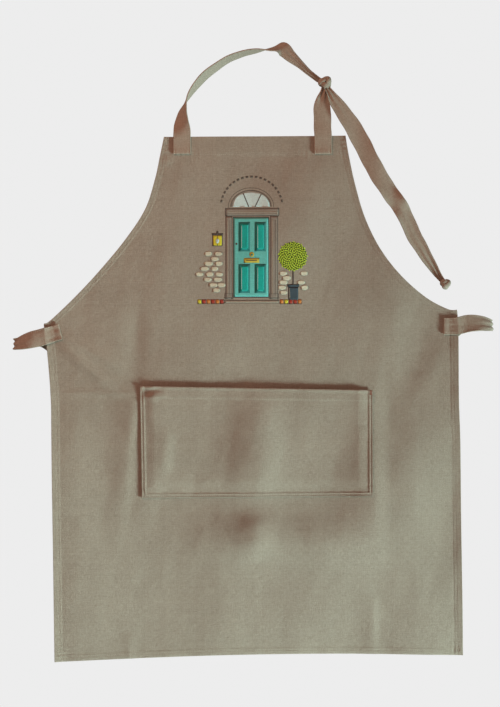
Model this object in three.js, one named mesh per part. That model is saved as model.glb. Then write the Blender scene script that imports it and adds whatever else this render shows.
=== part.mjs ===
// A bib apron of stitched canvas, hanging by its neck loop. Millimetres, +Z up, the front facing -Y.
// The origin is under the crown of the neck loop, where a hook or peg bears.
import * as THREE from 'three';

// --- Driving dimensions -----------------------------------------------------------------------------------

const BIB_TOP = -146;         // height of the bib's top edge
const CENTRE = -16;           // the panel's centre line, across from the crown
const CLOTH = 1.2;            // one layer of canvas
const FOLD = 1;               // the folded layers of a hem
const THREAD = 0.5;           // how proud a line of stitches stands
const THREAD_WIDTH = 0.8;
const GAP = 0.3;              // between layers that lie on each other
const STRAP_WIDTH = 30;
const STRAP = 1.4;            // folded tape

const TOP_HEM = 29;
const ARMHOLE_HEM = 8;
const SIDE_HEM = 12;
const BOTTOM_HEM = 10;
const HEM_RISE = 7;           // the hem hangs this much higher in its middle than in a straight line
const EDGE_MARGIN = 0.5;      // a turned hem stays this far inside the edge

// Edges of the hanging panel: across from the centre line, and down from the bib's top edge.
const LEFT_ARMHOLE = [[-156, 1], [-163, 34], [-172, 75], [-189, 126], [-223, 178], [-266, 230], [-309, 276],
  [-352, 317], [-363, 322]];
const RIGHT_ARMHOLE = [[156, -1], [162, 34], [172, 80], [189, 138], [215, 192], [250, 238], [293, 276],
  [332, 297], [348, 298]];
const LEFT_SIDE = [[-363, 322], [-358, 360], [-351, 445], [-349, 539], [-344, 904]];
const RIGHT_SIDE = [[348, 298], [350, 341], [351, 453], [354, 556], [358, 892]];

// Corners of the pocket: across from the centre line, and down from the bib's top edge.
const POCKET = { topLeft: [-197, 429], topRight: [203, 436], bottomLeft: [-194, 622], bottomRight: [203, 618] };
const POCKET_DEPTH = 7.4;     // how far the pocket's face stands off the panel
const POCKET_SEAM = 6;        // flat margin sewn down along the sides and the bottom
const POCKET_RISE = 18;       // width of the slope from that margin to the face
const POCKET_HEM = 20;

// Sewn ends of the straps and ties: centre, width, height and turn in degrees.
const NECK_PATCH = { width: STRAP_WIDTH, height: 30 };
const LEFT_NECK = { x: -141, ...NECK_PATCH, turn: 0 };
const RIGHT_NECK = { x: 101.5, ...NECK_PATCH, turn: 0 };
const LEFT_TIE = { x: -362, z: -485.5, width: 26, height: 30, turn: 16 };
const RIGHT_TIE = { x: 320.5, z: -472.5, width: 24, height: 30, turn: 0 };
const BOX_INSET = 3;          // stitched square inside each sewn end
const HINGE_GAP = 1;          // between a sewn end and the edge that its strap leaves over

// Layers, counted forwards from the panel's middle plane.
const PANEL_FRONT = -CLOTH / 2;
const SEAM_BACK = PANEL_FRONT - GAP;
const PATCH_BACK = SEAM_BACK - THREAD - GAP;
const BOX_BACK = PATCH_BACK - CLOTH - GAP;
const STRAP_MIDDLE = BOX_BACK - THREAD - GAP - STRAP / 2;
const HEM_BACK = CLOTH / 2 + GAP + FOLD;
const POCKET_BACK = PANEL_FRONT - GAP;
const TAIL_MIDDLE = -10;      // the free tail hangs in front of the knot and clear of the bib

// --- Materials --------------------------------------------------------------------------------------------

function cloth(colour, roughness) {
  return new THREE.MeshStandardMaterial({ color: colour, roughness, metalness: 0 });
}
const CANVAS = 0x8c8270;
const TAPE = 0x8a7c6a;
const STITCHES = 0xa79c88;

// --- Solids -----------------------------------------------------------------------------------------------

// A closed mesh from a list of equal rings of points: the rings are joined in turn and both ends are capped.
// The two halves of a ring split their quads along matching diagonals, so that a twisted tape keeps its thickness.
function loft(rings) {
  const count = rings[0].length;
  const positions = rings.flat().flatMap((p) => [p.x, p.y, p.z]);
  const faces = [];
  for (let ring = 0; ring + 1 < rings.length; ring += 1) {
    for (let i = 0; i < count; i += 1) {
      const a = ring * count + i;
      const b = ring * count + ((i + 1) % count);
      if (i < count / 2) faces.push(a, b, b + count, a, b + count, a + count);
      else faces.push(a, b, a + count, b, b + count, a + count);
    }
  }
  const last = (rings.length - 1) * count;
  for (let i = 1; i + 1 < count; i += 1) {
    faces.push(0, i + 1, i, last, last + i, last + i + 1);
  }
  const geometry = new THREE.BufferGeometry();
  geometry.setAttribute('position', new THREE.Float32BufferAttribute(positions, 3));
  geometry.setIndex(faces);
  geometry.computeVertexNormals();
  return geometry;
}

// A closed slab between two surfaces, each given at the crossings of a grid of rows and columns.
function slab(rows, columns, frontAt, backAt) {
  const positions = [];
  const faces = [];
  for (const pointAt of [frontAt, backAt]) {
    for (const row of rows) {
      for (const column of columns) positions.push(...pointAt(column, row));
    }
  }
  const across = columns.length;
  const sheet = rows.length * across;
  const quad = (a, b, c, d) => faces.push(a, b, c, a, c, d);
  for (let r = 0; r + 1 < rows.length; r += 1) {
    for (let c = 0; c + 1 < across; c += 1) {
      const i = r * across + c;
      quad(i, i + across, i + across + 1, i + 1);
      quad(sheet + i, sheet + i + 1, sheet + i + across + 1, sheet + i + across);
    }
    const left = r * across;
    const right = left + across - 1;
    quad(left, sheet + left, sheet + left + across, left + across);
    quad(right, right + across, sheet + right + across, sheet + right);
  }
  for (let c = 0; c + 1 < across; c += 1) {
    const bottom = (rows.length - 1) * across + c;
    quad(c, c + 1, sheet + c + 1, sheet + c);
    quad(bottom, sheet + bottom, sheet + bottom + 1, bottom + 1);
  }
  const geometry = new THREE.BufferGeometry();
  geometry.setAttribute('position', new THREE.Float32BufferAttribute(positions, 3));
  geometry.setIndex(faces);
  geometry.computeVertexNormals();
  return geometry;
}

// A flat plate of an outline in the X-Z plane, from its back face forwards.
function plate(outline, back, thickness, hole) {
  const shape = new THREE.Shape(outline);
  if (hole) shape.holes.push(new THREE.Path(hole));
  const geometry = new THREE.ExtrudeGeometry(shape, { depth: thickness, bevelEnabled: false });
  geometry.rotateX(Math.PI / 2);
  geometry.translate(0, back, 0);
  return geometry;
}

// --- Edges of the panel -----------------------------------------------------------------------------------

function place([across, down]) {
  return new THREE.Vector2(CENTRE + across, BIB_TOP - down);
}

function edge(points) {
  return new THREE.SplineCurve(points.map(place));
}

const ARMHOLES = { left: edge(LEFT_ARMHOLE), right: edge(RIGHT_ARMHOLE) };
const SIDES = { left: edge(LEFT_SIDE), right: edge(RIGHT_SIDE) };

// Points along a curve, moved onto the cloth. `inward` is +1 where the cloth lies on the left of the way along.
function insetLine(curve, inset, from, to, steps, inward) {
  const length = curve.getLength();
  return Array.from({ length: steps + 1 }, (_, i) => {
    const t = (from + (i / steps) * (length - from - to)) / length;
    const along = curve.getTangentAt(t);
    const point = curve.getPointAt(t);
    return new THREE.Vector2(point.x - along.y * inset * inward, point.y + along.x * inset * inward);
  });
}

// A band that follows an edge between two insets, leaving out a length at each end.
function band(curve, near, far, from, to, steps, inward, back, thickness) {
  const outer = insetLine(curve, near, from, to, steps, inward);
  const inner = insetLine(curve, far, from, to, steps, inward);
  return plate([...outer, ...inner.reverse()], back, thickness);
}

// A level strip of the bib between two depths, kept inside both armhole edges.
function bibStrip(top, bottom, margin, back, thickness) {
  const at = (curve, down, inward) => {
    const point = curve.getPointAt(down / curve.getLength());
    return new THREE.Vector2(point.x + margin * inward, point.y);
  };
  const corners = [at(ARMHOLES.left, top, 1), at(ARMHOLES.left, bottom, 1),
    at(ARMHOLES.right, bottom, -1), at(ARMHOLES.right, top, -1)];
  return plate(corners, back, thickness);
}

// --- Panel and pocket -------------------------------------------------------------------------------------

// A point of the panel: `across` runs from 0 on the left edge to 1 on the right, and `down` from 0 at the bib's
// top through 1 at the waist corners to 2 at the hem.
function panelPoint(across, down, y) {
  const edges = down <= 1 ? ARMHOLES : SIDES;
  const t = down <= 1 ? down : down - 1;
  const left = edges.left.getPointAt(t);
  const right = edges.right.getPointAt(t);
  const point = left.lerp(right, across);
  if (down > 1) point.y += HEM_RISE * Math.sin(Math.PI * across) * t * t;
  return [point.x, y, point.y];
}

function evenly(from, to, steps) {
  return Array.from({ length: steps + 1 }, (_, i) => from + ((to - from) * i) / steps);
}

const HEM_LINE = new THREE.SplineCurve(evenly(0, 1, 8).map((across) => {
  const [x, , z] = panelPoint(across, 2, 0);
  return new THREE.Vector2(x, z);
}));

function panel() {
  const rows = [...evenly(0, 1, 10), ...evenly(1, 2, 8).slice(1)];
  const columns = evenly(0, 1, 8);
  return slab(rows, columns, (s, t) => panelPoint(s, t, PANEL_FRONT), (s, t) => panelPoint(s, t, CLOTH / 2));
}

const pocketCorner = Object.fromEntries(Object.entries(POCKET).map(([name, corner]) => [name, place(corner)]));
const POCKET_WIDTH = POCKET.topRight[0] - POCKET.topLeft[0];
const POCKET_HEIGHT = POCKET.bottomLeft[1] - POCKET.topLeft[1];

// A point of the pocket's cloth, in millimetres from its left side and its bottom.
function pocketPlace(across, up) {
  const s = across / POCKET_WIDTH;
  const t = 1 - up / POCKET_HEIGHT;
  const top = pocketCorner.topLeft.clone().lerp(pocketCorner.topRight, s);
  const bottom = pocketCorner.bottomLeft.clone().lerp(pocketCorner.bottomRight, s);
  return top.lerp(bottom, t);
}

function pocketLift(across, up) {
  const rise = (distance) => THREE.MathUtils.smoothstep(distance, POCKET_SEAM, POCKET_SEAM + POCKET_RISE);
  return POCKET_DEPTH * rise(across) * rise(POCKET_WIDTH - across) * rise(up);
}

function pocketPanel() {
  const ends = [0, POCKET_SEAM, POCKET_SEAM + POCKET_RISE / 2, POCKET_SEAM + POCKET_RISE];
  const columns = [...ends, ...evenly(0, POCKET_WIDTH, 6).slice(1, -1), ...ends.map((d) => POCKET_WIDTH - d).reverse()];
  const rows = [POCKET_HEIGHT, POCKET_HEIGHT * 0.7, POCKET_HEIGHT * 0.4, ...ends.toReversed()];
  const surface = (layer) => (across, up) => {
    const point = pocketPlace(across, up);
    return [point.x, POCKET_BACK - pocketLift(across, up) - layer, point.y];
  };
  return slab(rows, columns, surface(CLOTH), surface(0));
}

// A straight strip on the pocket's raised face, across it and between two heights.
function pocketStrip(low, high, margin, back, thickness) {
  const corners = [pocketPlace(margin, low), pocketPlace(POCKET_WIDTH - margin, low),
    pocketPlace(POCKET_WIDTH - margin, high), pocketPlace(margin, high)];
  return plate(corners, back, thickness);
}

function pocketSeam() {
  const line = (inset) => [pocketPlace(inset, POCKET_HEIGHT - EDGE_MARGIN), pocketPlace(inset, inset),
    pocketPlace(POCKET_WIDTH - inset, inset), pocketPlace(POCKET_WIDTH - inset, POCKET_HEIGHT - EDGE_MARGIN)];
  const inset = POCKET_SEAM / 2;
  return plate([...line(inset), ...line(inset + THREAD_WIDTH).reverse()], POCKET_BACK - CLOTH - GAP, THREAD);
}

function bartack(across) {
  const size = new THREE.Vector2(4, 9);
  const centre = pocketPlace(across, POCKET_HEIGHT - size.y / 2 - EDGE_MARGIN);
  const geometry = new THREE.BoxGeometry(size.x, THREAD, size.y);
  geometry.translate(centre.x, POCKET_BACK - CLOTH - 2 * GAP - 1.5 * THREAD, centre.y);
  return geometry;
}

// --- Sewn ends --------------------------------------------------------------------------------------------

function neckPatch(end) {
  return { ...end, z: BIB_TOP - HINGE_GAP - end.height / 2 };
}

function square({ x, z, width, height, turn }, inset) {
  const half = new THREE.Vector2(width / 2 - inset, height / 2 - inset);
  const centre = new THREE.Vector2(x, z);
  const corners = [[-1, -1], [1, -1], [1, 1], [-1, 1]];
  return corners.map(([sx, sz]) => new THREE.Vector2(x + sx * half.x, z + sz * half.y)
    .rotateAround(centre, THREE.MathUtils.degToRad(turn)));
}

function patch(end) {
  return plate(square(end, 0), PATCH_BACK, CLOTH);
}

function boxStitching(end) {
  return plate(square(end, BOX_INSET), BOX_BACK, THREAD, square(end, BOX_INSET + THREAD_WIDTH));
}

// --- Straps -----------------------------------------------------------------------------------------------

// A flat tape along stations: a point, the way its width lies, and how much of its width shows there. Only the
// stretch between two fractions of the route is made.
function tape(stations, steps, from = 0, to = 1) {
  const path = new THREE.CatmullRomCurve3(stations.map(({ at }) => new THREE.Vector3(...at)));
  const facing = new THREE.CatmullRomCurve3(stations.map(({ across }) => new THREE.Vector3(...across)));
  const widths = new THREE.SplineCurve(stations.map(({ full }) => new THREE.Vector2(full, 0)));
  const rings = evenly(from, to, steps).map((t) => {
    const middle = path.getPoint(t);
    const along = path.getTangent(t);
    const across = facing.getPoint(t);
    across.addScaledVector(along, -across.dot(along)).normalize();
    const through = along.clone().cross(across).multiplyScalar(STRAP / 2);
    across.multiplyScalar((STRAP_WIDTH / 2) * widths.getPoint(t).x);
    return [[1, 1], [-1, 1], [-1, -1], [1, -1]].map(([w, d]) => middle.clone()
      .addScaledVector(across, w).addScaledVector(through, d));
  });
  return loft(rings);
}

function station(at, across, full = 1) {
  return { at, across, full };
}

// The long strap leaves the bib flat, turns edge-on, stands on edge over the crown, lies flat past it and
// gathers into the knot.
const LONG_STRAP = [
  station([-140.5, STRAP_MIDDLE, -143], [1, 0, 0]),
  station([-139.5, -4, -106], [0.5, -0.87, 0]),
  station([-129, -3, -77], [0, -1, 0.1]),
  station([-115, -2, -56], [-0.2, -1, 0.1]),
  station([-98, -2, -38], [-0.2, -1, 0.2]),
  station([-67, -2, -16], [-0.1, -1, 0.2]),
  station([-41, -2, -5], [0, -1, 0.2]),
  station([-14, -2, 1.2], [0, -1, 0.1]),
  station([10, -2, 3.6], [-0.1, -1, -0.25]),
  station([30, -3, 4.5], [-0.7, -0.6, -0.45], 0.95),
  station([46, -4, -8], [-0.75, -0.3, -0.6], 0.75),
  station([62, -5, -22.5], [-0.62, 0, -0.78], 0.5),
  station([78, -6, -37], [-0.62, 0, -0.78], 0.38),
  station([93.5, -6, -49.5], [-0.62, 0, -0.78], 0.3),
];

const SHORT_STRAP = [
  station([101.5, STRAP_MIDDLE, -143], [1, 0, 0]),
  station([100, STRAP_MIDDLE, -110], [1, 0, 0]),
  station([100, STRAP_MIDDLE, -89], [1, 0, 0], 0.9),
  station([102, STRAP_MIDDLE, -76], [1, 0, 0], 0.6),
  station([103.5, STRAP_MIDDLE, -66.5], [1, 0, 0], 0.4),
];

const KNOT = { at: [105.4, -6, -54.2], radii: [11.5, 8, 10.3] };

const STRAP_TAIL = [
  station([111, TAIL_MIDDLE, -68.5], [0.83, 0, 0.56], 0.4),
  station([124, TAIL_MIDDLE, -90], [0.83, 0, 0.56], 0.8),
  station([151, TAIL_MIDDLE, -128], [0.85, 0, 0.53]),
  station([182, TAIL_MIDDLE, -187], [0.88, 0, 0.47]),
  station([212, TAIL_MIDDLE, -238], [0.85, 0, 0.53], 0.95),
  station([236, TAIL_MIDDLE, -274], [0.85, 0, 0.53], 0.9),
  station([261, TAIL_MIDDLE, -324], [0.88, 0, 0.48], 0.85),
  station([285, TAIL_MIDDLE, -365], [0.85, 0, 0.53], 0.6),
  station([303, TAIL_MIDDLE, -390], [0.85, 0, 0.53], 0.35),
];

const TAIL_KNOT = { at: [311, TAIL_MIDDLE - 1, -400], radii: [8.6, 7.5, 8.6] };

// Each tie runs out from its seam, turns back on itself and hangs behind the panel.
const LEFT_WAIST_TIE = [
  station([-380.5, STRAP_MIDDLE, -490.5], [-0.27, 0, 0.96]),
  station([-396, STRAP_MIDDLE, -495], [-0.27, 0.2, 0.94]),
  station([-414, STRAP_MIDDLE + 1.5, -500], [-0.2, 0.35, 0.9], 0.9),
  station([-427, 2, -504], [0, 0.4, 0.9], 0.7),
  station([-430, 9, -503], [0, 0.2, 1], 0.6),
  station([-423, 15, -501], [0, 0, 1], 0.6),
  station([-405, 18, -499], [0, 0.2, 1], 0.65),
  station([-382, 18.5, -500], [0, 0.6, 0.8], 0.7),
  station([-362, 18.5, -521], [0.2, 1, 0.2]),
  station([-352, 18.5, -541], [0.1, 1, 0]),
  station([-350, 18.5, -600], [0.3, 0.95, 0]),
  station([-348, 18, -700], [0.8, 0.6, 0]),
  station([-345, 15, -850], [1, 0.25, 0]),
  station([-344, 12, -960], [1, 0, 0]),
  station([-343, 12, -1030], [1, 0, 0]),
];

const RIGHT_WAIST_TIE = [
  station([338, STRAP_MIDDLE, -471], [0, 0, 1]),
  station([356, STRAP_MIDDLE, -467.5], [0, 0.25, 0.97]),
  station([375, STRAP_MIDDLE + 1.5, -468], [0, 0.4, 0.9], 0.9),
  station([389, 2, -470], [0, 0.4, 0.9], 0.75),
  station([393, 9, -471], [0, 0.2, 1], 0.62),
  station([386, 15, -471], [0, 0, 1], 0.6),
  station([368, 18, -471], [0, 0.2, 1], 0.65),
  station([345, 18.5, -475], [0, 0.6, 0.8], 0.7),
  station([327, 18.5, -491], [-0.2, 1, 0.2]),
  station([318, 18.5, -512], [-0.1, 1, 0]),
  station([317, 18.5, -570], [-0.3, 0.95, 0]),
  station([318, 18, -680], [-0.8, 0.6, 0]),
  station([320, 15, -840], [-1, 0.25, 0]),
  station([321, 12, -950], [-1, 0, 0]),
  station([322, 12, -1022], [-1, 0, 0]),
];

// The hanging part of a tie swings from the bend where it turns down, a fraction of the way along its stations.
const TIE_BEND = 8.5 / 14;
const TIE_BEND_GAP = 0.006;

function knot({ at, radii }) {
  const geometry = new THREE.SphereGeometry(1, 14, 9);
  geometry.scale(...radii);
  geometry.translate(...at);
  return geometry;
}

// --- Assembly ---------------------------------------------------------------------------------------------

const apron = new THREE.Group();

function add(name, geometry, material) {
  const mesh = new THREE.Mesh(geometry, material);
  mesh.name = name;
  apron.add(mesh);
}

const SIDE_NAMES = [['left', 1], ['right', -1]];     // and the direction inwards from each edge

function addPanel() {
  add('apron_panel', panel(), cloth(CANVAS, 0.9));
  add('bib_top_hem', bibStrip(EDGE_MARGIN + 1, TOP_HEM, EDGE_MARGIN, HEM_BACK, FOLD), cloth(CANVAS, 0.9));
  for (const [side, inward] of SIDE_NAMES) {
    add(`${side}_armhole_hem`, band(ARMHOLES[side], EDGE_MARGIN, ARMHOLE_HEM, TOP_HEM + 3, SIDE_HEM + 3, 16,
      inward, HEM_BACK, FOLD), cloth(CANVAS, 0.9));
    add(`${side}_side_hem`, band(SIDES[side], EDGE_MARGIN, SIDE_HEM, 1, BOTTOM_HEM + 8, 6,
      inward, HEM_BACK, FOLD), cloth(CANVAS, 0.9));
  }
  add('bottom_hem', band(HEM_LINE, EDGE_MARGIN, BOTTOM_HEM, 1, 1, 8, 1, HEM_BACK, FOLD), cloth(CANVAS, 0.9));
}

function addPocket() {
  const face = POCKET_BACK - POCKET_DEPTH;
  const slope = POCKET_SEAM + POCKET_RISE + GAP;
  add('pocket_panel', pocketPanel(), cloth(CANVAS, 0.9));
  add('pocket_top_hem', pocketStrip(POCKET_HEIGHT - POCKET_HEM, POCKET_HEIGHT - EDGE_MARGIN, slope,
    face + GAP + FOLD, FOLD), cloth(CANVAS, 0.9));
}

function addPanelStitching() {
  const thread = (name, geometry) => add(name, geometry, cloth(STITCHES, 0.8));
  const line = 2;             // a seam runs this far inside its hem's fold
  thread('bib_top_stitching', bibStrip(TOP_HEM + line, TOP_HEM + line + THREAD_WIDTH, line, SEAM_BACK, THREAD));
  for (const [side, inward] of SIDE_NAMES) {
    const armhole = ARMHOLE_HEM - line;
    const down = SIDE_HEM - line;
    thread(`${side}_armhole_stitching`, band(ARMHOLES[side], armhole, armhole + THREAD_WIDTH, TOP_HEM + 6,
      SIDE_HEM + 3, 16, inward, SEAM_BACK, THREAD));
    thread(`${side}_side_stitching`, band(SIDES[side], down, down + THREAD_WIDTH, 1, BOTTOM_HEM + 1, 6,
      inward, SEAM_BACK, THREAD));
  }
  const up = BOTTOM_HEM - line;
  thread('bottom_stitching', band(HEM_LINE, up, up + THREAD_WIDTH, 1, 1, 8, 1, SEAM_BACK, THREAD));
}

function addPocketStitching() {
  const thread = (name, geometry) => add(name, geometry, cloth(STITCHES, 0.8));
  const face = POCKET_BACK - POCKET_DEPTH - CLOTH - GAP;
  const low = POCKET_HEIGHT - POCKET_HEM;
  thread('pocket_hem_stitching', pocketStrip(low, low + THREAD_WIDTH, POCKET_SEAM + POCKET_RISE, face, THREAD));
  thread('pocket_seam_stitching', pocketSeam());
  thread('pocket_left_bartack', bartack(POCKET_SEAM / 2));
  thread('pocket_right_bartack', bartack(POCKET_WIDTH - POCKET_SEAM / 2));
}

function addSewnEnds() {
  const ends = { left_neck_strap_end: neckPatch(LEFT_NECK), right_neck_strap_end: neckPatch(RIGHT_NECK),
    left_tie_end: LEFT_TIE, right_tie_end: RIGHT_TIE };
  for (const [name, end] of Object.entries(ends)) {
    add(name, patch(end), cloth(TAPE, 0.9));
    add(`${name}_stitching`, boxStitching(end), cloth(STITCHES, 0.8));
  }
}

function addStraps() {
  add('neck_strap_long', tape(LONG_STRAP, 48), cloth(TAPE, 0.9));
  add('neck_strap_short', tape(SHORT_STRAP, 12), cloth(TAPE, 0.9));
  add('neck_knot', knot(KNOT), cloth(TAPE, 0.9));
  add('neck_strap_tail', tape(STRAP_TAIL, 24), cloth(TAPE, 0.9));
  add('tail_end_knot', knot(TAIL_KNOT), cloth(TAPE, 0.9));
  for (const [side, route] of [['left', LEFT_WAIST_TIE], ['right', RIGHT_WAIST_TIE]]) {
    add(`${side}_tie_start`, tape(route, 34, 0, TIE_BEND - TIE_BEND_GAP), cloth(TAPE, 0.9));
    add(`${side}_waist_tie`, tape(route, 30, TIE_BEND + TIE_BEND_GAP, 1), cloth(TAPE, 0.9));
  }
}

addPanel();
addPocket();
addPanelStitching();
addPocketStitching();
addSewnEnds();
addStraps();

export default apron;
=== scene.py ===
# A canvas bib apron hanging by its neck loop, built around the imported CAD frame.
# Shapes are worked out in millimetres, as the CAD is, and become metres when a mesh is made.
# X is across, Z is up, and the front of the apron faces -Y.

import math
from collections import namedtuple

import bpy
import numpy as np
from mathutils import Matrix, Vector


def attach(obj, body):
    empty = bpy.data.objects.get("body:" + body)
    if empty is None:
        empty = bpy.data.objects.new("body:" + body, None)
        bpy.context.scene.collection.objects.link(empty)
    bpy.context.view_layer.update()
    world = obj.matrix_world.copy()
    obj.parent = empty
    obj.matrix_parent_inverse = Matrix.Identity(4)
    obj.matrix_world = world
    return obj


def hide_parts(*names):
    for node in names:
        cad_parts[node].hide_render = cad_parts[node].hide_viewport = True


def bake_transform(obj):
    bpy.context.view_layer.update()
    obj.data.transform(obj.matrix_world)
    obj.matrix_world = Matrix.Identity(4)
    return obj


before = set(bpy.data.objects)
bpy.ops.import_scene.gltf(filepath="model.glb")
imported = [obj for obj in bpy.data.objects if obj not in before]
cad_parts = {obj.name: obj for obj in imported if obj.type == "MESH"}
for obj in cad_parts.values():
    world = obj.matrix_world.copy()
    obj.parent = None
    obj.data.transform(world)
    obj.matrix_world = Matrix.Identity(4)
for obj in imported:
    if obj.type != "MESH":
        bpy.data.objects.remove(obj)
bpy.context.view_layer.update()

# --- Sizes that the CAD and the looks share ---

MM = 0.001
BIB_TOP = -146
CENTRE = -16
CLOTH = 1.2
GAP = 0.3
STRAP_WIDTH = 30
STRAP = 1.9
AIR = 0.1                      # the least room between two layers of cloth
SEAM_LINE = 2                  # a seam runs this far inside its hem's fold
HEM_RISE = 7                   # the hem hangs this much higher in its middle than in a straight line
ROW_SAG = 18

# Edges of the hanging panel: across from the centre line, and down from the bib's top edge.
LEFT_ARMHOLE = [(-156, 1), (-163, 34), (-172, 75), (-189, 126), (-223, 178), (-266, 230), (-309, 276),
                (-352, 317), (-363, 322)]
RIGHT_ARMHOLE = [(156, -1), (162, 34), (172, 80), (189, 138), (215, 192), (250, 238), (293, 276),
                 (332, 297), (348, 298)]
LEFT_SIDE = [(-363, 322), (-358, 360), (-351, 445), (-349, 539), (-344, 904)]
RIGHT_SIDE = [(348, 298), (350, 341), (351, 453), (354, 556), (358, 892)]

# Corners of the pocket, measured the same way.
POCKET = {
    "top_left": (-197, 429), "top_right": (203, 436), "bottom_left": (-194, 622), "bottom_right": (203, 618),
}
POCKET_WIDTH = 400
POCKET_HEIGHT = 193
POCKET_SEAM = 6                # its turned-in edges are this wide
POCKET_STITCH = 3.2            # and its stitches run this far inside them
POCKET_HEM = 20

# --- Numbers and lines ---

RNG = np.random.default_rng(246)
RIM = (0, 0.12, 0.35, 0.7)     # rows of vertices this far inside a rim make it round
REACH = 60                     # a place further than this from a line counts as far from it
MARK_STEP = 0.8                # a line is searched at marks this far apart,
BATCH = 12000                  # for this many places at once
PATH_STEP = 1.2


def smooth(value, low, high):
    """0 below low, 1 above high, and a smooth rise between them."""
    t = np.clip((value - low) / (high - low), 0, 1)
    return t * t * (3 - 2 * t)


def bump(value, width):
    return np.exp(-(value / width) ** 2)


def graded(length, fine, fine_step, step):
    """Distances from 0 to length: close together at both ends, then fine steps, then wide ones between."""
    edge = np.concatenate([RIM, np.arange(RIM[-1] + fine_step, fine, fine_step)])
    middle = np.linspace(fine, length - fine, max(2, round((length - 2 * fine) / step)))
    return np.concatenate([edge, middle, length - edge[::-1]])


def smooth_line(points, per_span):
    """A smooth line through points (Catmull-Rom), as a dense list of points."""
    p = np.asarray(points, float)
    p = np.vstack([p[:1], p, p[-1:]])
    t = np.linspace(0, 1, per_span, endpoint=False)[:, None]
    spans = []
    for a, b, c, d in zip(p, p[1:], p[2:], p[3:]):
        square, cube = 2 * a - 5 * b + 4 * c - d, 3 * b - a - 3 * c + d
        spans.append(0.5 * (2 * b + (c - a) * t + square * t**2 + cube * t**3))
    return np.vstack([*spans, p[-1:]])


class Line:
    """A line that can be measured along, in the plane or in space."""

    def __init__(self, points, per_span=16):
        self.points = smooth_line(points, per_span)
        steps = np.linalg.norm(np.diff(self.points, axis=0), axis=1)
        self.reach = np.concatenate([[0], np.cumsum(steps)])
        self.length = self.reach[-1]

    def at(self, distance):
        return np.stack([np.interp(distance, self.reach, column) for column in self.points.T], -1)

    def along(self, distance, step=0.6):
        ahead = self.at(np.minimum(distance + step, self.length))
        behind = self.at(np.maximum(distance - step, 0))
        return unit(ahead - behind)

    def inset(self, distance, depth):
        """Points moved sideways from the line, to the left of the way along."""
        along = self.along(distance)
        left = np.stack([-along[..., 1], along[..., 0]], -1)
        return self.at(distance) + left * np.asarray(depth)[..., None]


def unit(vectors):
    return vectors / np.maximum(np.linalg.norm(vectors, axis=-1, keepdims=True), 1e-9)


def nearest(x, z, line):
    """How far each place is from a line in the plane, and how far along the line."""
    places = np.stack([np.ravel(x), np.ravel(z)], -1).astype(np.float32)
    marks = np.linspace(0, line.length, int(line.length / MARK_STEP))
    spots = line.at(marks).astype(np.float32)
    inside = np.all((places > spots.min(0) - REACH) & (places < spots.max(0) + REACH), axis=1)
    distance = np.full(len(places), 10.0 * REACH)
    along = np.zeros(len(places))
    chosen = np.flatnonzero(inside)
    for part in np.array_split(chosen, max(1, len(chosen) // BATCH)):
        squares = ((places[part, None] - spots[None]) ** 2).sum(-1)
        index = squares.argmin(1)
        distance[part] = np.sqrt(squares[np.arange(len(part)), index])
        along[part] = marks[index]
    return distance.reshape(np.shape(x)), along.reshape(np.shape(x))


def waves(count, shortest, longest, height):
    """Random soft undulations, as a function of x and z."""
    angles = RNG.uniform(0, math.pi, count)
    lengths = RNG.uniform(shortest, longest, count)
    phases = RNG.uniform(0, 2 * math.pi, count)

    def at(x, z):
        total = 0
        for angle, length, phase in zip(angles, lengths, phases):
            total = total + np.sin(2 * math.pi * (x * math.cos(angle) + z * math.sin(angle)) / length + phase)
        return total * height / math.sqrt(count)

    return at


# --- Outline of the panel ---

def place(point):
    across, down = point
    return CENTRE + across, BIB_TOP - down


ARMHOLES = {"left": Line([place(p) for p in LEFT_ARMHOLE]), "right": Line([place(p) for p in RIGHT_ARMHOLE])}
SIDES = {"left": Line([place(p) for p in LEFT_SIDE]), "right": Line([place(p) for p in RIGHT_SIDE])}


def panel_point(across, down):
    """A place on the panel: `across` is 0 at the left edge and 1 at the right; `down` is 0 at the bib's top,
    1 at the waist corners and 2 at the hem. The rows sag, so that they leave both corners inwards."""
    upper = down <= 1
    t = np.where(upper, down, down - 1)
    x, z, level = [], [], []
    for side in ("left", "right"):
        armhole, below = ARMHOLES[side], SIDES[side]
        edge = np.where(upper[..., None], armhole.at(t * armhole.length), below.at(t * below.length))
        x.append(edge[..., 0])
        z.append(edge[..., 1])
        top, waist = armhole.points[0, 1], armhole.points[-1, 1]
        level.append(np.where(upper, top + (waist - top) * t, edge[..., 1]))
    row = x[0] + (x[1] - x[0]) * across
    height = level[0] + (level[1] - level[0]) * across
    height = height + (z[0] - level[0]) * (1 - across) ** 4 + (z[1] - level[1]) * across**4
    sag = ROW_SAG * (1 - np.abs(2 * across - 1) ** 10)
    height = height - sag * np.where(upper, t, (1 - t) ** 2)
    rise = HEM_RISE * np.sin(math.pi * across) * t**2 * ~upper
    return row, height + rise


TOP_LINE = Line([place(RIGHT_ARMHOLE[0]), place(LEFT_ARMHOLE[0])])
BOTTOM_LINE = Line(np.stack(panel_point(np.linspace(0, 1, 9), np.full(9, 2.0)), -1))

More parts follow.
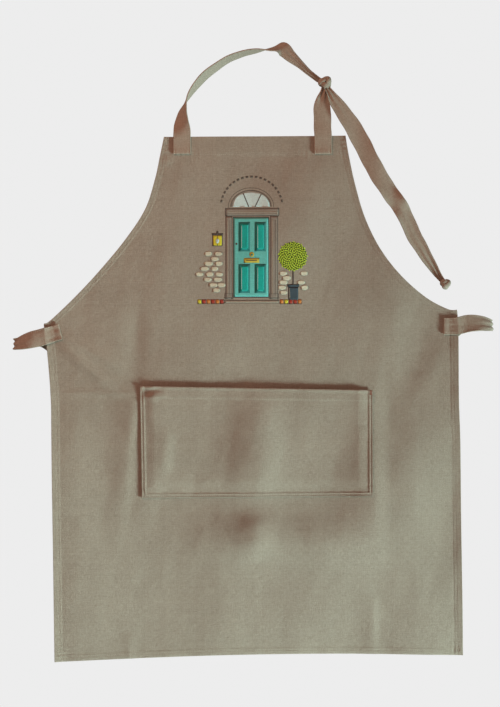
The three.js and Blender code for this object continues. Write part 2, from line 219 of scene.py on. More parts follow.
# Each hem: its edge and width, how far in its stitches run, how far its outer edge curls forwards, +1 where
# the cloth is on the left of the way along, and how far its back layers and its stitches stop short of the
# edge's two ends.
Hem = namedtuple("Hem", "line width seam curl inward ends stitch_ends")
HEMS = {
    "bib_top": Hem(TOP_LINE, 29, 29 + SEAM_LINE, 0.5, 1, (3, 3), (3, 3)),
    "left_armhole": Hem(ARMHOLES["left"], 8, 8 - SEAM_LINE, 0.6, 1, (28, 12), (34, 6)),
    "right_armhole": Hem(ARMHOLES["right"], 8, 8 - SEAM_LINE, 1.0, -1, (28, 12), (34, 6)),
    "left_side": Hem(SIDES["left"], 12, 12 - SEAM_LINE, 2.0, 1, (2, 12), (2, 4)),
    "right_side": Hem(SIDES["right"], 12, 12 - SEAM_LINE, 1.6, -1, (2, 12), (2, 4)),
    "bottom": Hem(BOTTOM_LINE, 10, 10 - SEAM_LINE, -0.6, 1, (2, 2), (3, 3)),
}


# --- Shape of the hanging cloth ---

# Soft folds: where each starts and ends, how far it stands forwards, and its width on its lower or left side
# and on its upper or right side.
FOLDS = [
    ((-225, -585), (-244, -790), 4.0, 26, 12),
    ((-204, -580), (-211, -790), 2.8, 22, 38),
    ((-220, -450), (-222, -575), -2.8, 18, 18),
    ((188, -570), (186, -810), 5.5, 44, 20),
    ((-6, -600), (-12, -750), 9.0, 50, 34),
    ((-14, -800), (-10, -862), 5.0, 34, 28),
    ((-110, -838), (170, -842), 10.0, 46, 46),
    ((-345, -507), (-262, -578), 4.4, 10, 10),
    ((-348, -487), (-250, -545), 3.0, 9, 11),
    ((-368, -586), (-213, -588), 0.9, 6, 4),
    ((-232, -1006), (-232, -1048), 1.2, 12, 9),
    ((187, -935), (188, -1045), 2.4, 20, 8),
    ((-167, -181), (-166, -194), 2.0, 9, 9),
    ((-330, -640), (-330, -960), 5.0, 50, 60),
    ((250, -640), (262, -980), 5.0, 60, 45),
    ((-60, -880), (-64, -1040), 3.2, 50, 55),
    ((60, -230), (40, -520), 3.2, 70, 60),
    ((-150, -330), (-180, -470), 2.6, 45, 40),
    ((230, -400), (215, -560), 3.4, 40, 30),
    ((324, -500), (250, -600), 1.5, 22, 22),
    ((-168, -655), (-172, -720), 2.6, 16, 14),
]
BROAD = waves(7, 170, 420, 2.2)
CRUMPLE = waves(16, 22, 70, 0.2)
HEM_STEP = 0.75                # a folded hem's face stands this much prouder,
STITCH_DIP = 0.55              # its stitches sink it this far,
PUCKER = 0.3                   # and pull it into ripples this high
TIE_BENDS = ((-352, -520), (316, -505))        # where the ties turn down and push the panel forwards


def fold(x, z, start, end, height, low_width, high_width):
    run = np.subtract(end, start)
    length = math.hypot(*run)
    ux, uz = run / length
    along = (x - start[0]) * ux + (z - start[1]) * uz
    off = (z - start[1]) * ux - (x - start[0]) * uz
    fade = 0.35 * length
    ends = smooth(along, -fade, fade) * (1 - smooth(along, length - fade, length + fade))
    return height * bump(off, np.where(off < 0, low_width, high_width)) * ends


def drape(x, z):
    """How far the middle of the cloth stands forwards of its flat plane."""
    total = BROAD(x, z) + CRUMPLE(x, z)
    for numbers in FOLDS:
        total = total + fold(x, z, *numbers)
    near_strap = smooth(z, BIB_TOP - 60, BIB_TOP)
    pushed = sum(bump(x - bend_x, 30) * bump(z - bend_z, 60) for bend_x, bend_z in TIE_BENDS)
    return total * (1 - 0.6 * near_strap) + 1.2 * np.clip(pushed, 0, 1)


def seam_ripple(along):
    return np.sin(2 * math.pi * along / 7.8 + 1.6 * np.sin(along / 19)) * (0.65 + 0.35 * np.sin(along / 37))


def hem_relief(x, z):
    """How far the folded hems push the face forwards, with the sunk line of stitches and its puckers."""
    total = 0
    for hem in HEMS.values():
        distance, along = nearest(x, z, hem.line)
        inner = max(hem.seam, hem.width)
        total = total + HEM_STEP * (1 - smooth(distance, inner - 0.6, inner + 2))
        total = total - STITCH_DIP * bump(distance - hem.seam, 1.2)
        total = total + PUCKER * seam_ripple(along) * np.exp(-np.abs(distance - hem.seam) / 6)
        total = total + hem.curl * np.clip(1 - distance / (hem.width + 4), 0, 1) ** 2
    return total


def panel_front(x, z):
    return -CLOTH / 2 - drape(x, z) - hem_relief(x, z)


def pocket_place(across, up):
    """A place on the pocket's cloth, from its left side and its bottom."""
    corner = {name: np.array(place(point)) for name, point in POCKET.items()}
    s = np.asarray(across / POCKET_WIDTH)[..., None]
    t = np.asarray(1 - up / POCKET_HEIGHT)[..., None]
    top = corner["top_left"] + (corner["top_right"] - corner["top_left"]) * s
    bottom = corner["bottom_left"] + (corner["bottom_right"] - corner["bottom_left"]) * s
    point = top + (bottom - top) * t
    return point[..., 0], point[..., 1]


def pocket_lift(across, up):
    """How far the pocket's cloth stands off the panel: sewn on three sides, a little open at the mouth."""
    edge = np.minimum(across, POCKET_WIDTH - across)
    sides = smooth(edge, POCKET_SEAM - 1, POCKET_SEAM + 20)
    low = smooth(up, POCKET_SEAM - 1, POCKET_SEAM + 26)
    mouth = smooth(up, 110, POCKET_HEIGHT)
    sag = 0.85 + 0.15 * np.sin(across / 61 + 1)
    return sides * low * (2.2 + 1.5 * mouth * sag)


def pocket_front(across, up):
    x, z = pocket_place(across, up)
    edge = np.minimum(np.minimum(across, POCKET_WIDTH - across), up)
    run = np.where(across < POCKET_WIDTH - across, up, up + 300) + np.where(edge == up, across, 0)
    inside = edge - POCKET_STITCH
    relief = 0.9 * (1 - smooth(edge, POCKET_SEAM, POCKET_SEAM + 2)) - 1.1 * bump(inside, 1.1)
    relief = relief + 0.25 * seam_ripple(run) * np.exp(-np.abs(inside) / 6)
    mouth = POCKET_HEIGHT - up
    relief = relief + 0.7 * (1 - smooth(mouth, POCKET_HEM, POCKET_HEM + 2))
    relief = relief - 0.45 * bump(mouth - POCKET_HEM, 1.2)
    relief = relief + 0.9 * bump(mouth - 2, 3)
    pucker = fold(across, up, (4, 180), (34, 189), -2.0, 5, 4)
    pucker = pucker + fold(across, up, (2, 170), (40, 176), 1.0, 7, 4)
    lift = pocket_lift(across, up) + relief + pucker
    return -CLOTH / 2 - drape(x, z) - GAP - CLOTH - np.maximum(lift, AIR)


# --- Meshes ---

def quads(index):
    """The faces of a grid of vertex numbers."""
    around = [index[:-1, :-1], index[1:, :-1], index[1:, 1:], index[:-1, 1:]]
    return np.stack(around, -1).reshape(-1, 4)


def shell(front, back):
    """A closed thin solid between two faces given on a grid; the faces share their rim."""
    rows, columns = front.shape[:2]
    index = np.arange(rows * columns).reshape(rows, columns)
    behind = index.copy()
    behind[1:-1, 1:-1] = rows * columns + np.arange((rows - 2) * (columns - 2)).reshape(rows - 2, columns - 2)
    points = np.vstack([front.reshape(-1, 3), back[1:-1, 1:-1].reshape(-1, 3)])
    return points, np.vstack([quads(index), quads(behind)[:, ::-1]])


def rounded(distance, half):
    """Half the thickness of a sheet at a distance from its rounded rim."""
    return half * np.sqrt(1 - (1 - np.clip(distance / half, 0, 1)) ** 2)


def rim_distance(rows, columns):
    """For a grid with rows and columns at these distances, how far each crossing is from the rim."""
    down = np.minimum(rows, rows[-1] - rows)[:, None]
    across = np.minimum(columns, columns[-1] - columns)[None, :]
    return np.minimum(down, across)


def joined(solids):
    """Several (points, faces) pairs as one."""
    points, faces, count = [], [], 0
    for more_points, more_faces in solids:
        points.append(more_points)
        faces.append(more_faces + count)
        count += len(more_points)
    return np.vstack(points), np.vstack(faces)


def outward(points, faces):
    """The faces turned so that the solid's volume is positive."""
    a, b, c, d = (points[faces[:, i]] for i in range(4))
    volume = (a * np.cross(b, c)).sum() + (a * np.cross(c, d)).sum()
    return faces if volume > 0 else faces[:, ::-1]


def piece(name, solid, material, body=None, replaced=(), grain=None):
    """A smooth-shaded object from (points, faces) in millimetres. `grain` gives each vertex its place in the
    cloth, in millimetres across and along, for the weave."""
    points, faces = solid
    faces = outward(points, faces)
    mesh = bpy.data.meshes.new(name)
    mesh.from_pydata((points * MM).tolist(), [], faces.tolist())
    mesh.update()
    mesh.shade_smooth()
    mesh.materials.append(material)
    if grain is not None:
        layer = mesh.uv_layers.new(name="Grain")
        layer.data.foreach_set("uv", (grain[faces.ravel()] * MM).ravel())
    made = bpy.data.objects.new(name, mesh)
    bpy.context.scene.collection.objects.link(made)
    if replaced:
        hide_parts(*replaced)
    if body:
        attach(made, body)
    return made


# --- Materials ---

class Graph:
    """A material's nodes, with short ways to add them."""

    def __init__(self, name):
        self.material = bpy.data.materials.new(name)
        self.material.use_nodes = True
        self.tree = self.material.node_tree
        self.shader = self.tree.nodes["Principled BSDF"]

    def node(self, kind, inputs=None, **settings):
        made = self.tree.nodes.new(kind)
        for key, value in settings.items():
            setattr(made, key, value)
        for key, value in (inputs or {}).items():
            self.feed(made.inputs[key], value)
        return made

    def feed(self, socket, value):
        if isinstance(value, bpy.types.NodeSocket):
            self.tree.links.new(value, socket)
        else:
            socket.default_value = value

    def math(self, operation, *values):
        return self.node("ShaderNodeMath", dict(enumerate(values)), operation=operation).outputs[0]

    def mix(self, factor, low, high, blend_type="MIX"):
        made = self.node("ShaderNodeMix", data_type="RGBA", blend_type=blend_type)
        for key, value in ((0, factor), (6, low), (7, high)):
            self.feed(made.inputs[key], value)
        return made.outputs[2]

    def scaled(self, vector, scale):
        return self.node("ShaderNodeMapping", {"Vector": vector, "Scale": scale}).outputs[0]

    def noise(self, vector, scale, detail=3.0, rough=0.55):
        inputs = {"Vector": vector, "Scale": scale, "Detail": detail, "Roughness": rough}
        return self.node("ShaderNodeTexNoise", inputs).outputs[0]

    def spread(self, value, low, high):
        """Stretches a value's middle range to run from low to high."""
        inputs = {"Value": value, "From Min": 0.3, "From Max": 0.7, "To Min": low, "To Max": high}
        return self.node("ShaderNodeMapRange", inputs).outputs[0]

    def surface(self, inputs, height, relief, strength=1.0):
        """Feeds the shader, and gives it bumps from a height: the relief is in metres."""
        values = {"Strength": strength, "Distance": relief, "Height": height}
        bumps = self.node("ShaderNodeBump", values).outputs[0]
        for key, value in {**inputs, "Normal": bumps}.items():
            self.feed(self.shader.inputs[key], value)
        return self.material


def colour(red, green, blue):
    return (red, green, blue, 1)


def canvas_grain(graph, from_uv):
    """The place in the cloth: two lengths in metres along the threads."""
    if from_uv:
        return graph.node("ShaderNodeUVMap", uv_map="Grain").outputs[0]
    place_in_space = graph.node("ShaderNodeTexCoord").outputs["Object"]
    split = graph.node("ShaderNodeSeparateXYZ", {0: place_in_space})
    return graph.node("ShaderNodeCombineXYZ", {0: split.outputs[0], 1: split.outputs[2]}).outputs[0]


def plain_weave(graph, grain, pitch):
    """A plain weave: its height, whether the warp lies on top, and a random shade for each thread."""
    drift = graph.noise(grain, 90.0, 2.0)
    split = graph.node("ShaderNodeSeparateXYZ", {0: grain})
    threads = []
    for axis in (0, 1):
        count = graph.math("DIVIDE", split.outputs[axis], pitch)
        threads.append(graph.math("MULTIPLY_ADD", drift, 1.1, count))
    waves_of = [graph.math("SINE", graph.math("MULTIPLY", count, math.pi)) for count in threads]
    sizes = [graph.math("ABSOLUTE", wave) for wave in waves_of]
    on_top = graph.math("GREATER_THAN", graph.math("MULTIPLY", *waves_of), 0.0)
    warp, weft = (graph.math("MULTIPLY", graph.math("POWER", one, 0.8), graph.math("POWER", other, 0.3))
                  for one, other in (sizes, sizes[::-1]))
    height = graph.math("MULTIPLY_ADD", graph.math("SUBTRACT", warp, weft), on_top, weft)
    shades = []
    for count in threads:
        number = graph.math("FLOOR", count)
        shades.append(graph.node("ShaderNodeTexWhiteNoise", {"W": number}, noise_dimensions="1D").outputs[0])
    shade = graph.math("MULTIPLY_ADD", graph.math("SUBTRACT", *shades), on_top, shades[1])
    return height, on_top, shade


def canvas(name, pale, dark, from_uv=False, pitch=0.00085, relief=0.00036):
    """Woven canvas: threads of uneven shade, slubs that run with them, mottled dye, painted shade that
    darkens the weave's hollows, and a dry, fuzzy face.
    """
    graph = Graph(name)
    grain = canvas_grain(graph, from_uv)
    height, on_top, shade = plain_weave(graph, grain, pitch)
    slub_down, slub_across = (
        graph.noise(graph.scaled(grain, scale), 1.0, 2.0) for scale in ((560, 120, 1), (120, 560, 1)))
    slub = graph.math("MULTIPLY_ADD", graph.math("SUBTRACT", slub_down, slub_across), on_top, slub_across)
    dye = graph.noise(grain, 11.0, 4.0, 0.6)
    fleck = graph.noise(grain, 700.0, 3.0, 0.7)
    tone = graph.math("MULTIPLY", shade, 0.22)
    for value, low, share in ((slub, -0.2, 0.62), (dye, 0, 0.2), (fleck, 0, 0.36)):
        tone = graph.math("MULTIPLY_ADD", graph.spread(value, low, 1), share, tone)
    base = graph.mix(tone, colour(*dark), colour(*pale))
    # Painted shade: the colour is darkened down to 0.72 times where the weave's height is low, in the hollows
    # between the threads.
    hollow_shade_range = {"Value": height, "From Min": 0.1, "From Max": 0.75, "To Min": 0.72}
    weave_hollow_painted_shade = graph.node("ShaderNodeMapRange", hollow_shade_range).outputs[0]
    rough = graph.node("ShaderNodeMapRange", {"Value": fleck, "To Min": 0.82, "To Max": 0.98}).outputs[0]
    fuzz = graph.math("MULTIPLY_ADD", fleck, 0.35, graph.math("MULTIPLY_ADD", slub, 1.6, height))
    fuzz = graph.math("MULTIPLY_ADD", graph.noise(grain, 190.0, 3.0, 0.6), 2.2, fuzz)
    face = graph.mix(1.0, base, weave_hollow_painted_shade, "MULTIPLY")
    return graph.surface({"Base Color": face, "Roughness": rough, "Specular IOR Level": 0.12,
                          "Sheen Weight": 0.12, "Sheen Roughness": 0.5}, fuzz, relief)


def thread_material(name, pale, dark):
    """Twisted sewing thread: slanting plies, coloured paler on their crests and darker in their grooves as
    painted shade, and an uneven shade of the thread itself.
    """
    graph = Graph(name)
    spot = graph.node("ShaderNodeTexCoord").outputs["Object"]
    split = graph.node("ShaderNodeSeparateXYZ", {0: spot})
    slant = graph.math("ADD", split.outputs[0], split.outputs[2])
    ply = graph.math("SINE", graph.math("MULTIPLY", slant, 9000.0))
    shade = graph.noise(spot, 400.0, 3.0)
    # Painted shade: the ply wave that makes the bumps also makes the crests paler and the grooves darker.
    tone = graph.math("MULTIPLY_ADD", ply, 0.2, graph.spread(shade, 0.15, 0.85))
    face = graph.mix(tone, colour(*dark), colour(*pale))
    rough = graph.spread(shade, 0.55, 0.8)
    return graph.surface({"Base Color": face, "Roughness": rough, "Sheen Weight": 0.2}, ply, 0.0001, 0.6)


canvas_cloth = canvas("taupe_canvas", (0.46, 0.405, 0.335), (0.285, 0.245, 0.198))
tape_cloth = canvas("taupe_tape", (0.45, 0.39, 0.32), (0.275, 0.232, 0.185), True, 0.0008, 0.00012)
thread = thread_material("taupe_thread", (0.52, 0.47, 0.39), (0.34, 0.30, 0.24))

# --- The panel, its hems and the pocket ---

def sheet_between(x, z, y, distance, half):
    """A thin solid whose front face lies at y, with a rounded rim."""
    thick = rounded(distance, half)
    middle = y + half
    front = np.stack([x, middle - thick, z], -1)
    back = np.stack([x, middle + thick, z], -1)
    return shell(front, back)


PATTERN_WIDTH = 700            # every row of the panel has as many vertices as one of this width,
EDGE_BAND = 22                 # and the same steps in this much of the cloth at each end


def panel_solid():
    armhole, side = ARMHOLES["left"].length, SIDES["left"].length
    rows = graded(armhole + side, 30, 1.4, 4.2)
    down = np.where(rows <= armhole, rows / armhole, 1 + (rows - armhole) / side)
    left, _ = panel_point(np.zeros_like(down), down)
    right, _ = panel_point(np.ones_like(down), down)
    widths = right - left
    pattern = graded(PATTERN_WIDTH, 20, 1.4, 4.4)
    near = pattern[pattern <= EDGE_BAND]
    middle = np.linspace(0, 1, np.sum((pattern > EDGE_BAND) & (pattern < PATTERN_WIDTH - EDGE_BAND)))[1:-1]
    columns = np.array([np.concatenate([
        near, EDGE_BAND + (width - 2 * EDGE_BAND) * middle, width - near[::-1]]) for width in widths])
    across = columns / widths[:, None]
    x, z = panel_point(across, np.repeat(down[:, None], across.shape[1], 1))
    to_side = np.minimum(columns, widths[:, None] - columns)
    distance = np.minimum(to_side, np.minimum(rows, rows[-1] - rows)[:, None])
    return sheet_between(x, z, panel_front(x, z), distance, CLOTH / 2)


def hem_solid(hem):
    """A hem's turned-back layers behind the panel, along its edge."""
    start, end = hem.ends
    rows = graded(hem.line.length - start - end, 3, 1.0, 2.2)
    columns = graded(hem.width - 0.4, 1.6, 0.4, 1.6)
    depth, along = np.meshgrid(0.4 + columns, start + rows)
    x, z = np.moveaxis(hem.line.inset(along, depth * hem.inward), -1, 0)
    off = depth - min(hem.seam, hem.width - SEAM_LINE)
    puff = 0.25 + 0.25 * seam_ripple(along + 3) * np.exp(-np.abs(off) / 5) - 0.35 * bump(off, 1.0)
    middle = panel_front(x, z) + CLOTH + AIR + CLOTH / 2
    thick = rounded(rim_distance(rows, columns), CLOTH / 2)
    front = np.stack([x, middle - thick, z], -1)
    back = np.stack([x, middle + thick * (1 + puff), z], -1)
    return shell(front, back)


def pocket_solid():
    rows = graded(POCKET_HEIGHT, 26, 1.2, 2.6)
    columns = graded(POCKET_WIDTH, 26, 1.2, 2.8)
    across, up = np.meshgrid(columns, POCKET_HEIGHT - rows)
    x, z = pocket_place(across, up)
    return sheet_between(x, z, pocket_front(across, up), rim_distance(rows, columns), CLOTH / 2)


def pocket_hem_solid():
    rows = graded(POCKET_HEM - 1, 3, 1.0, 2.0)
    columns = graded(POCKET_WIDTH - 2 * (POCKET_SEAM + 8), 3, 1.0, 3.0)
    across, up = np.meshgrid(POCKET_SEAM + 8 + columns, POCKET_HEIGHT - 0.6 - rows)
    x, z = pocket_place(across, up)
    y = pocket_front(across, up) + CLOTH + AIR
    return sheet_between(x, z, y, rim_distance(rows, columns), 0.5)


def canvas_piece(name, solid):
    return piece(f"{name}_canvas", solid, canvas_cloth, "apron", [name])


panel_shape = panel_solid()
panel = canvas_piece("apron_panel", panel_shape)
hems = [canvas_piece(f"{name}_hem", hem_solid(hem)) for name, hem in HEMS.items()]
pocket = canvas_piece("pocket_panel", pocket_solid())
pocket_hem = canvas_piece("pocket_top_hem", pocket_hem_solid())

# --- The print on the bib ---

# A plain doorway with a fanlight, stones and a ball tree. Places are across from the middle of the doorstep
# and up from it. Each ink is one piece: thin films that lie on the cloth, a higher `level` on a lower one.
DOORSTEP = (-22.4, -425.7)
INK_STEP = 3.0
INK_RISE = 0.08
LEVEL_RISE = 0.045
FILM = 0.1
LIGHT = (0.79, 0.70, 0.625)    # what a white cloth shows of red, green and blue here
LEAVES = 150

# Screen inks, by their colours on the cloth in this light, as 0 to 255.
SHOWN = {
    "mint": (196, 221, 207), "light_teal": (104, 180, 165), "dark_teal": (52, 122, 112),
    "teal": (36, 158, 140), "gold": (196, 168, 66), "umber": (84, 70, 62), "shade": (104, 91, 80),
    "stone": (198, 184, 156), "leaf": (188, 202, 62), "dark_green": (72, 84, 32), "slate": (66, 74, 78),
    "yellow": (206, 186, 58), "orange": (196, 118, 62), "brick": (160, 62, 48), "taupe": (139, 125, 110),
    "sand": (168, 148, 126),
}
films = {name: [] for name in SHOWN}


def film(name, u, v, level):
    films[name].append((u, v, level))


def lattice(rows, columns):
    return np.meshgrid(np.linspace(0, 1, columns), np.linspace(0, 1, rows))


def block(name, left, right, low, high, level=0):
    rows = max(3, int((high - low) / INK_STEP) + 2)
    columns = max(3, int((right - left) / INK_STEP) + 2)
    s, t = lattice(rows, columns)
    film(name, left + (right - left) * s, high - (high - low) * t, level)


def disc(name, centre, wide, tall, level=0, turn=0.0, cut=-1.0):
    """A filled ellipse, cut off below a share of its height."""
    count = max(5, int(wide / INK_STEP) * 2 + 3)
    s, t = lattice(count, count)
    s, t = 2 * s - 1, 1 - 2 * t
    u = s * np.sqrt(1 - t * t / 2)
    v = np.maximum(t * np.sqrt(1 - s * s / 2), cut)
    u, v = u * wide, v * tall
    film(name, centre[0] + u * math.cos(turn) - v * math.sin(turn),
         centre[1] + u * math.sin(turn) + v * math.cos(turn), level)


def arch(name, centre, wide, tall, start, end, width, level=0):
    """A line along part of an ellipse, between two angles in degrees."""
    count = max(4, int(abs(math.radians(end - start)) * wide / INK_STEP) + 2)
    angles = np.radians(np.linspace(start, end, count))[None, :]
    out = np.linspace(width / 2, -width / 2, 3)[:, None]
    film(name, centre[0] + (wide + out) * np.cos(angles), centre[1] + (tall + out) * np.sin(angles), level)


def stroke(name, start, end, width, level=0):
    length = math.dist(start, end)
    ux, uz = (end[0] - start[0]) / length, (end[1] - start[1]) / length
    count = max(3, int(length / INK_STEP) + 2)
    along = np.linspace(0, length, count)[None, :]
    out = np.linspace(width / 2, -width / 2, 3)[:, None]
    film(name, start[0] + along * ux - out * uz, start[1] + along * uz + out * ux, level)


def frame_lines(name, left, right, low, high, width, level=0):
    for across in (left, right):
        stroke(name, (across, low), (across, high), width, level)
    for height in (low, high):
        stroke(name, (left, height), (right, height), width, level)


def framed(name, line, left, right, low, high, width=1.0):
    block(name, left, right, low, high)
    frame_lines(line, left, right, low, high, width, 1)


def print_doorway():
    spring = 158.6
    disc("mint", (0, spring), 32.5, 26, cut=0)
    for foot, top in (((-3.8, spring), (-13.5, 182)), ((7, spring), (17.5, 180.5))):
        stroke("umber", foot, top, 1.7, 1)
    arch("shade", (0, spring), 34.5, 28, 0, 180, 1.6, 1)
    arch("shade", (0, spring), 39, 32.5, -2, 182, 0.9)
    for angle in np.linspace(12, 168, 19):
        arch("shade", (1, spring - 1), 53, 53, angle - 2.4, angle + 2.4, 3.4)
    framed("taupe", "shade", -44, 48, 143, 156)
    stroke("sand", (-42, 149.5), (46, 149.5), 1.6, 1)
    block("light_teal", -30, 30, 3.4, 140)
    frame_lines("umber", -30.6, 30.6, 3, 140.6, 1.2, 1)
    for left, right in ((-21.5, -1.7), (6.2, 25.3)):
        for low, high in ((81.9, 132.4), (10.3, 60.2)):
            block("dark_teal", left, right, low, high, 1)
            block("teal", left + 2.6, right - 2.6, low + 2.8, high - 2.8, 2)
            stroke("mint", (left + 5.4, low + 6), (left + 5.4, high - 6), 0.8, 3)
    block("gold", -12.4, 14.6, 62, 70.5, 2)
    stroke("umber", (-8, 66.2), (10, 66.2), 1.2, 3)
    disc("gold", (1.4, 76.5), 4.2, 4.6, 2)
    disc("dark_teal", (1.4, 76), 1.9, 2.1, 3)
    disc("umber", (-25, 95), 1.9, 1.9, 2)


def print_surround():
    for left, right in ((-44, -32.4), (32.8, 46.4)):
        third = (right - left) / 3
        block("taupe", left, right, 0, 142.4)
        for across in (left + 0.5, right - 0.5):
            stroke("shade", (across, 0), (across, 142.4), 1.0, 1)
        stroke("sand", (left + third, 6), (left + third, 136), 1.4, 1)
        stroke("shade", (left + 2 * third, 6), (left + 2 * third, 136), 0.8, 1)
        frame_lines("shade", left - 1, right + 1, 0, 9, 0.9, 1)
    for height in (2.4, -2.2, -7):
        stroke("shade", (-47, height), (49, height), 1.0, 1)
    block("sand", -46, 48, -6.6, -2.8)


def print_lamp():
    """A small square wall lantern beside the door."""
    framed("yellow", "umber", -66, -49.5, 91.5, 110, 1.2)
    stroke("umber", (-67.5, 112), (-48, 112), 2.4, 1)
    stroke("umber", (-57.8, 92), (-57.8, 110), 1.0, 1)
    disc("umber", (-57.8, 115), 2.2, 2.4, 1)
    disc("mint", (-57.8, 100), 3.0, 4.4, 2)


STONE_ROWS = {
    78: (-73, -56), 69: (-62,), 61: (-73, -55.5), 52: (-81, -63.5), 42.5: (-88, -71.5, -55),
    33.5: (-74, -58), 24: (-65, -50.5), 15: (-60,), 44: (56, 91), 36: (61,), 28.5: (55, 86), 19.5: (52, 91),
    11: (56,),
}


def print_stones():
    for height, row in STONE_ROWS.items():
        for across in row:
            wobble = RNG.uniform(-1, 1, 4)
            size = (7.0 + wobble[0] * 0.9, 3.8 + wobble[1] * 0.4)
            disc("sand", (across + wobble[2], height), size[0] + 0.7, size[1] + 0.7)
            disc("stone", (across + wobble[2], height + 0.2), *size, 1, 0.08 * wobble[3])


def print_tree():
    crown = (71.7, 73.4)
    radius = 24.4
    stroke("umber", (72.4, 50), (72.4, 24), 2.6)
    block("slate", 64, 81.4, -1.5, 21)
    block("slate", 62.4, 83, 21, 25.5)
    stroke("sand", (66, 19), (66.8, 1), 0.9, 1)
    disc("dark_green", crown, radius, radius)
    golden = math.pi * (3 - math.sqrt(5))
    for leaf in range(LEAVES):
        reach = (radius + 0.8) * math.sqrt((leaf + 0.5) / LEAVES)
        angle = leaf * golden
        spot = (crown[0] + reach * math.cos(angle), crown[1] + reach * math.sin(angle))
        disc("leaf", spot, 2.1, 1.0, 1, RNG.uniform(0, math.pi))


def print_bricks():
    for left, inks in ((-92, ("yellow", "brick", "orange", "brick", "orange", "brick")),
                       (49.4, ("orange", "yellow", "brick", "brick", "orange"))):
        for number, name in enumerate(inks):
            start = left + number * 7.7
            block(name, start, start + 6.9, -8, -0.6)
            stroke("umber", (start, -8.4), (start + 6.9, -8.4), 0.8, 1)


for draw in (print_doorway, print_surround, print_lamp, print_stones, print_tree, print_bricks):
    draw()


def ink_solids():
    """Every film laid on the cloth, as one solid for each ink."""
    grids = [(name, *grid) for name, parts in films.items() for grid in parts]
    x = np.concatenate([DOORSTEP[0] + u.ravel() for _, u, _, _ in grids])
    z = np.concatenate([DOORSTEP[1] + v.ravel() for _, _, v, _ in grids])
    surface = panel_front(x, z)
    solids, used = {name: [] for name in films}, 0
    for name, u, _, level in grids:
        part = slice(used, used + u.size)
        used += u.size
        place_x, place_z, lie = (values[part].reshape(u.shape) for values in (x, z, surface))
        proud = INK_RISE + LEVEL_RISE * level
        front = np.stack([place_x, lie - proud, place_z], -1)
        back = np.stack([place_x, lie - proud + FILM, place_z], -1)
        solids[name].append(shell(front, back))
    return {name: joined(parts) for name, parts in solids.items()}


for ink_name, ink_shape in ink_solids().items():
    tint = np.array([min(0.9, (value / 255) ** 2.2 / level) for value, level in zip(SHOWN[ink_name], LIGHT)])
    ink_cloth = canvas(f"{ink_name}_ink", tint * 1.12, tint * 0.82)
    piece(f"bib_print_{ink_name}", ink_shape, ink_cloth, "apron")

# --- Straps and ties ---

# Each tape's route, as stations: a place, the way the tape's width lies there, and how much of it shows.
LONG_STRAP = [
    (-141, -2.6, -177, 1, 0, 0, 1), (-141, -2.6, -162, 1, 0, 0, 1), (-141, -3.4, -148, 1, 0, 0, 1),
    (-141, -4.4, -134, 0.95, -0.2, 0, 1), (-141, -4.4, -119, 0.75, -0.6, 0, 1),
    (-139.5, -4, -102, 0.45, -0.88, 0, 1), (-131, -3, -79, -0.05, -1, 0.1, 1),
    (-115, -2, -56, -0.28, -0.95, 0.16, 1), (-98, -2, -38, -0.26, -0.95, 0.24, 1),
    (-67, -2, -16, -0.12, -0.97, 0.2, 1), (-41, -2, -5, -0.06, -0.98, 0.18, 1), (-14, -2, 1.2, 0, -1, 0.1, 1),
    (10, -2, 3.6, -0.1, -0.95, -0.25, 1), (30, -3, 4.5, -0.8, -0.35, -0.45, 0.97),
    (46, -4, -8, -0.75, -0.25, -0.6, 0.75), (62, -5, -22.5, -0.62, 0, -0.78, 0.48),
    (78, -6, -37, -0.62, 0, -0.78, 0.36), (92, -6, -49, -0.62, 0, -0.78, 0.33),
    (101, -6, -54, -0.62, 0, -0.78, 0.3),
]
SHORT_STRAP = [
    (101.5, -2.6, -177, 1, 0, 0, 1), (101.5, -2.6, -162, 1, 0, 0, 1), (101.5, -3.4, -148, 1, 0, 0, 1),
    (101.2, -4.6, -134, 1, 0, 0, 1), (100.4, -4.7, -114, 1, 0, 0, 1), (99.5, -4.7, -96, 1, 0, 0, 0.96),
    (100.5, -4.7, -82, 1, 0, 0, 0.76), (103, -4.7, -69, 1, 0, 0, 0.45), (105, -5, -59, 1, 0, 0, 0.36),
]
STRAP_TAIL = [
    (107, -9, -62, 0.83, 0, 0.56, 0.32), (113, -10, -72, 0.83, 0, 0.56, 0.42),
    (124, -10, -90, 0.83, 0, 0.56, 0.75), (151, -10, -128, 0.85, 0.12, 0.53, 0.98),
    (182, -10, -187, 0.86, -0.26, 0.47, 1), (212, -10, -238, 0.85, 0.14, 0.53, 0.97),
    (229, -11, -262, 0.83, -0.3, 0.53, 0.95), (242, -10, -284, 0.85, 0.26, 0.5, 0.92),
    (261, -10, -324, 0.88, 0.05, 0.48, 0.85), (285, -10, -365, 0.85, 0, 0.53, 0.62),
    (303, -10, -390, 0.85, 0, 0.53, 0.35), (309, -10.5, -398, 0.85, 0, 0.53, 0.3),
]
LEFT_TIE = [
    (-349.5, -2.6, -481.9, -0.27, 0, 0.96, 0.9), (-362, -2.6, -485.5, -0.27, 0, 0.96, 0.92),
    (-376, -3.2, -489.5, -0.27, 0, 0.96, 0.96), (-396, -4.7, -495, -0.27, 0.2, 0.94, 1),
    (-414, -3.2, -500, -0.2, 0.35, 0.9, 0.9), (-427, 2, -504, 0, 0.4, 0.9, 0.7),
    (-430, 9, -503, 0, 0.2, 1, 0.6), (-423, 15, -501, 0, 0, 1, 0.6), (-405, 18, -499, 0, 0.2, 1, 0.65),
    (-382, 18.5, -500, 0, 0.6, 0.8, 0.7), (-362, 18.5, -521, 0.2, 1, 0.2, 1),
    (-352, 18.5, -541, 0.1, 1, 0, 1), (-350, 18.5, -600, 0.3, 0.95, 0, 1), (-348, 18, -700, 0.8, 0.6, 0, 1),
    (-345, 15, -850, 1, 0.25, 0, 1), (-344, 12, -960, 1, 0, 0, 1), (-343, 12, -1030, 1, 0, 0, 1),
]
